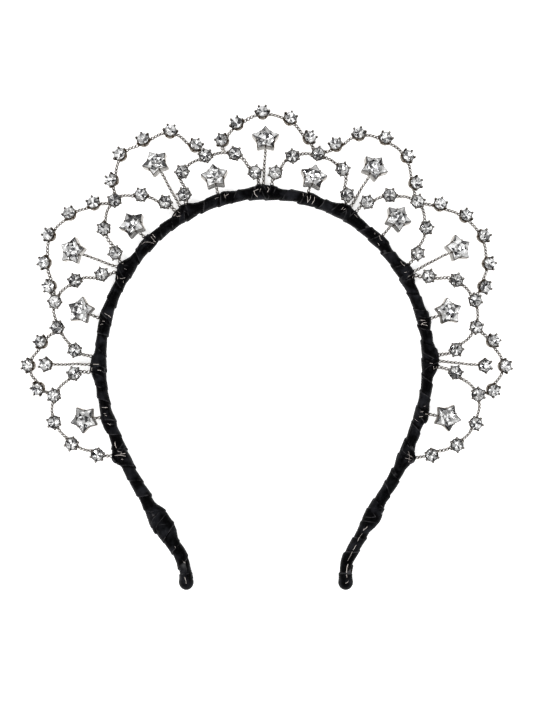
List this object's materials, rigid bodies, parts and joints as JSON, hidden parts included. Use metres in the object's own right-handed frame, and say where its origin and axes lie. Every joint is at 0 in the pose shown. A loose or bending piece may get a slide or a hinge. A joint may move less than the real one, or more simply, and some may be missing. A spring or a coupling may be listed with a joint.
{
  "type": "crystal headband",
  "caption": "Leather-wound headband with two rows of twisted-wire scallops that carry round crystals in pronged settings and star-shaped crystals on stems.",
  "frame": {"origin": "middle of the band's back, where it lies flat, at the middle of the whole piece", "axes": "+X to the right as seen from the front, +Y from the two tips to the crown, +Z out of the front, where the crystals face"},
  "size_m": [0.1965, 0.1941, 0.0082],
  "materials": {
    "leather": "satin black leather strip, wound on the slant",
    "wire": "silver-coloured wire, two strands twisted together",
    "setting": "polished silver-coloured setting with darkened claws",
    "crystal": "clear cut crystal with a bright foil behind it"
  },
  "bodies": {
    "root": {"band": "leather", "star_stems": "wire", "inner_wire_1": "wire", "inner_crystals_1": "crystal", "inner_star_setting_1": "setting", "inner_star_stone_1": "crystal", "inner_wire_2": "wire", "inner_crystals_2": "crystal", "inner_star_setting_2": "setting", "inner_star_stone_2": "crystal", "inner_wire_3": "wire", "inner_crystals_3": "crystal", "inner_star_setting_3": "setting", "inner_star_stone_3": "crystal", "inner_wire_4": "wire", "inner_crystals_4": "crystal", "inner_star_setting_4": "setting", "inner_star_stone_4": "crystal", "inner_wire_5": "wire", "inner_crystals_5": "crystal", "inner_star_setting_5": "setting", "inner_star_stone_5": "crystal", "inner_wire_6": "wire", "inner_crystals_6": "crystal", "inner_star_setting_6": "setting", "inner_star_stone_6": "crystal", "inner_wire_7": "wire", "inner_crystals_7": "crystal", "inner_star_setting_7": "setting", "inner_star_stone_7": "crystal", "inner_wire_8": "wire", "inner_crystals_8": "crystal", "inner_star_setting_8": "setting", "inner_star_stone_8": "crystal", "outer_wire_1": "wire", "outer_crystals_1": "crystal", "outer_wire_2": "wire", "outer_crystals_2": "crystal", "outer_wire_3": "wire", "outer_crystals_3": "crystal", "outer_wire_4": "wire", "outer_crystals_4": "crystal", "outer_wire_5": "wire", "outer_crystals_5": "crystal", "outer_wire_6": "wire", "outer_crystals_6": "crystal", "outer_wire_7": "wire", "outer_crystals_7": "crystal", "outer_star_setting_2": "setting", "outer_star_stone_2": "crystal", "outer_star_setting_3": "setting", "outer_star_stone_3": "crystal", "outer_star_setting_4": "setting", "outer_star_stone_4": "crystal", "outer_star_setting_5": "setting", "outer_star_stone_5": "crystal", "outer_star_setting_6": "setting", "outer_star_stone_6": "crystal"}
  },
  "joints": []
}
